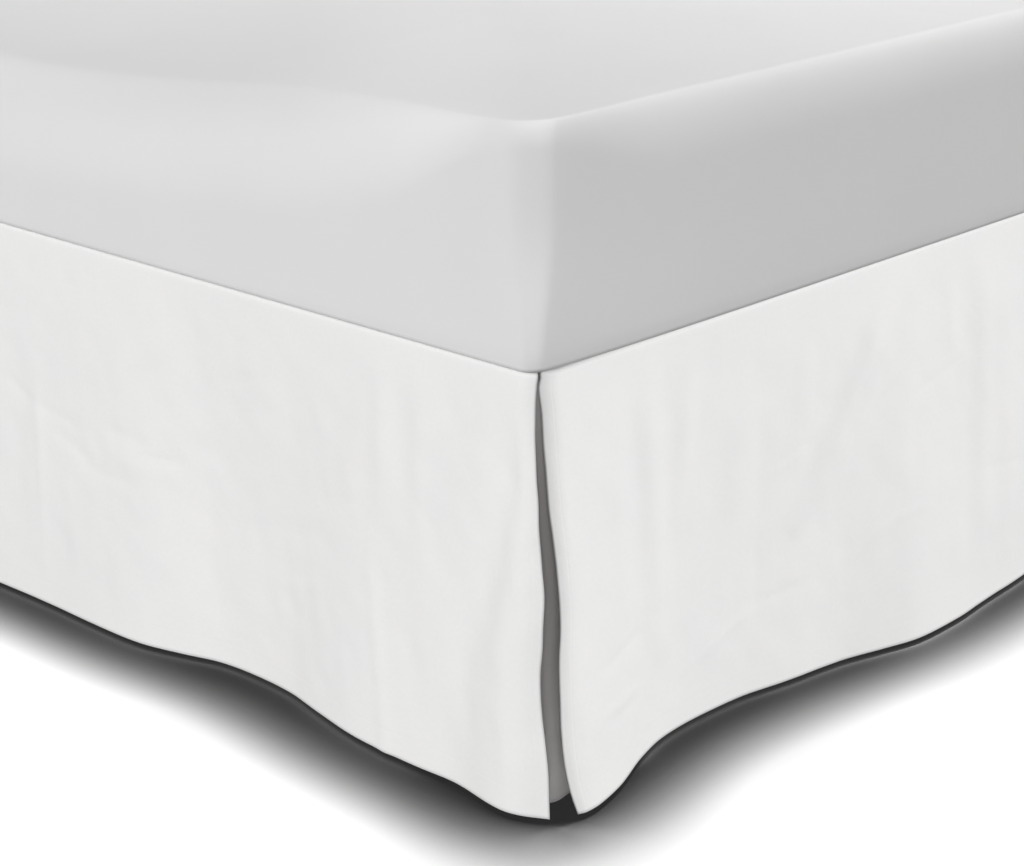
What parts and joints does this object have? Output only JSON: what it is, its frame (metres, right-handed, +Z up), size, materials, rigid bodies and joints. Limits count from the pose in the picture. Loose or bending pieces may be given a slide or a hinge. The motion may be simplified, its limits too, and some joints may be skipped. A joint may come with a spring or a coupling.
{
  "type": "bed skirt on a bed",
  "caption": "Tailored white cotton bed skirt with open split corners, hanging to the floor from under the mattress of a plain double bed",
  "frame": {"origin": "middle of the bounding box, on the floor", "axes": "+Z up, X across the bed, +Y along it from the foot to the head"},
  "size_m": [1.6, 2.0591, 0.5803],
  "materials": {
    "skirt_cotton": "plain white cotton, matt, softly creased",
    "mattress_cover": "pale grey fitted cover, smooth and matt",
    "base_cloth": "plain woven cover of the bed base",
    "leg_black": "black moulded plastic"
  },
  "bodies": {
    "root": {"panel_foot": "skirt_cotton", "panel_side_right": "skirt_cotton", "panel_side_left": "skirt_cotton", "insert_right": "skirt_cotton", "insert_left": "skirt_cotton", "deck": "skirt_cotton", "mattress": "mattress_cover", "base": "base_cloth", "leg_foot_right": "leg_black", "leg_foot_left": "leg_black", "leg_mid_right": "leg_black", "leg_mid_left": "leg_black", "leg_centre": "leg_black", "leg_head_right": "leg_black", "leg_head_left": "leg_black"}
  },
  "joints": []
}
